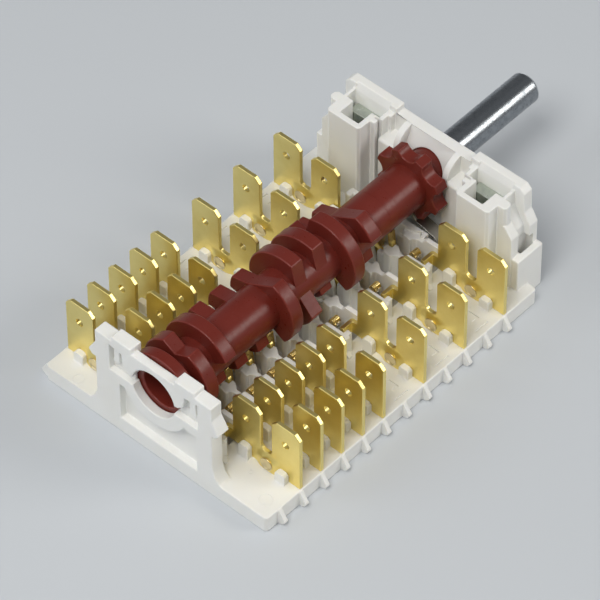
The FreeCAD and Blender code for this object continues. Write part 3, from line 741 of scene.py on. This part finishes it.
def windowBacks():
    # the catch windows end in a thin wall that keeps the shaft's flange out of sight
    values = windowValues
    whole = bmesh.new()
    panes = [(side, pane) for side in (-1, 1) for pane in values["panes"]]
    for side, (inner, outer, bottom, top) in panes:
        made = bmesh.ops.create_cube(whole, size=1.0)["verts"]
        low = spot(side * inner, values["wallNear"] + values["back"][0], bottom)
        high = spot(side * outer, values["wallNear"] + values["back"][1], top)
        bmesh.ops.scale(whole, vec=[abs(high[n] - low[n]) for n in range(3)], verts=made)
        bmesh.ops.translate(whole, vec=(low + high) / 2, verts=made)
    bmesh.ops.bevel(whole, geom=whole.edges[:], offset=values["corner"] * mm,
                    offset_type="OFFSET", segments=2, profile=0.5, affect="EDGES",
                    clamp_overlap=True, material=-1)
    showPiece("windowBacks", meshFrom("windowBacks", whole), "base_moulding", "housing")


windowBacks()
shaftMarks()
baseMarks()
print("window backs and witness marks added")


# floor, light and camera

stageValues = {
    "floorSize": 6.0, "floorColour": (0.58, 0.61, 0.64, 1), "floorRoughness": 0.75,
    "floorDrop": 0.05, "middle": (0, -0.035, 0),
    # lamp: azimuth, elevation, distance, size, power, colour
    "lamps": {"keyLamp": (14, 60, 0.9, 0.45, 4.1, (1.0, 0.98, 0.95)),
              "fillLamp": (-38, 36, 1.0, 0.6, 1.9, (0.93, 0.96, 1.0)),
              "sideLamp": (125, 32, 1.0, 0.45, 3.0, (1.0, 0.97, 0.92))},
    # world brightness by height, from below the horizon to straight up
    "sky": ((0.0, 0.60), (0.50, 0.60), (0.59, 0.22), (0.92, 0.20), (1.0, 0.55)),
}


def towards(azimuth, elevation):
    a, e = math.radians(azimuth), math.radians(elevation)
    return Vector((math.sin(a) * math.cos(e), -math.cos(a) * math.cos(e), math.sin(e)))


def buildStage():
    low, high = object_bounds()
    bpy.ops.mesh.primitive_plane_add(
        size=stageValues["floorSize"],
        location=(0, -0.04, low.z - stageValues["floorDrop"] * mm))
    floor = bpy.context.object
    floor.name = "paleFloor"
    material = bpy.data.materials.new("paleFloor")
    material.use_nodes = True
    shader = material.node_tree.nodes["Principled BSDF"]
    shader.inputs["Base Color"].default_value = stageValues["floorColour"]
    shader.inputs["Roughness"].default_value = stageValues["floorRoughness"]
    floor.data.materials.append(material)


def addLamp(name, azimuth, elevation, distance, size, power, colour):
    toLamp = towards(azimuth, elevation)
    lamp = bpy.data.lights.new(name, "AREA")
    lamp.shape = "DISK"
    lamp.size = size
    lamp.energy = power
    lamp.color = colour
    piece = bpy.data.objects.new(name, lamp)
    piece.location = Vector(stageValues["middle"]) + toLamp * distance
    piece.rotation_euler = toLamp.to_track_quat("Z", "Y").to_euler()
    bpy.context.scene.collection.objects.link(piece)


def buildLight():
    world = bpy.data.worlds.new("softRoom")
    bpy.context.scene.world = world
    world.use_nodes = True
    tree = world.node_tree
    backdrop = tree.nodes["Background"]
    upward = addNode(tree, "ShaderNodeSeparateXYZ")
    feed(tree, upward.inputs[0], addNode(tree, "ShaderNodeTexCoord").outputs["Generated"])
    ramp = addNode(tree, "ShaderNodeValToRGB")
    feed(tree, ramp.inputs["Fac"], spread(tree, upward.outputs["Z"], -1.0, 1.0))
    steps = stageValues["sky"]
    while len(ramp.color_ramp.elements) < len(steps):
        ramp.color_ramp.elements.new(1.0)
    for step, (height, level) in zip(ramp.color_ramp.elements, steps):
        step.position = height
        step.color = (0.95 * level, 0.97 * level, level, 1)
    feed(tree, backdrop.inputs["Color"], ramp.outputs["Color"])
    for name, values in stageValues["lamps"].items():
        addLamp(name, *values)


cameraValues = {"azimuth": 42.262, "elevation": 48.409, "roll": -0.194, "distance": 0.87156,
                "lens": 309.05, "sensor": 36.0, "aim": (0.00261, -0.03938, -0.0024)}


def buildCamera():
    back = towards(cameraValues["azimuth"], cameraValues["elevation"])
    lens = bpy.data.cameras.new("photoCamera")
    lens.lens = cameraValues["lens"]
    lens.sensor_width = cameraValues["sensor"]
    lens.clip_start = 0.05
    lens.clip_end = 20.0
    camera = bpy.data.objects.new("photoCamera", lens)
    turn = back.to_track_quat("Z", "Y").to_matrix().to_4x4()
    roll = Matrix.Rotation(math.radians(cameraValues["roll"]), 4, "Z")
    place = Vector(cameraValues["aim"]) + back * cameraValues["distance"]
    camera.matrix_world = Matrix.Translation(place) @ turn @ roll
    bpy.context.scene.collection.objects.link(camera)
    bpy.context.scene.camera = camera


buildStage()
buildLight()
buildCamera()
bpy.context.scene.view_settings.view_transform = "Standard"
print("stage, light and camera set")
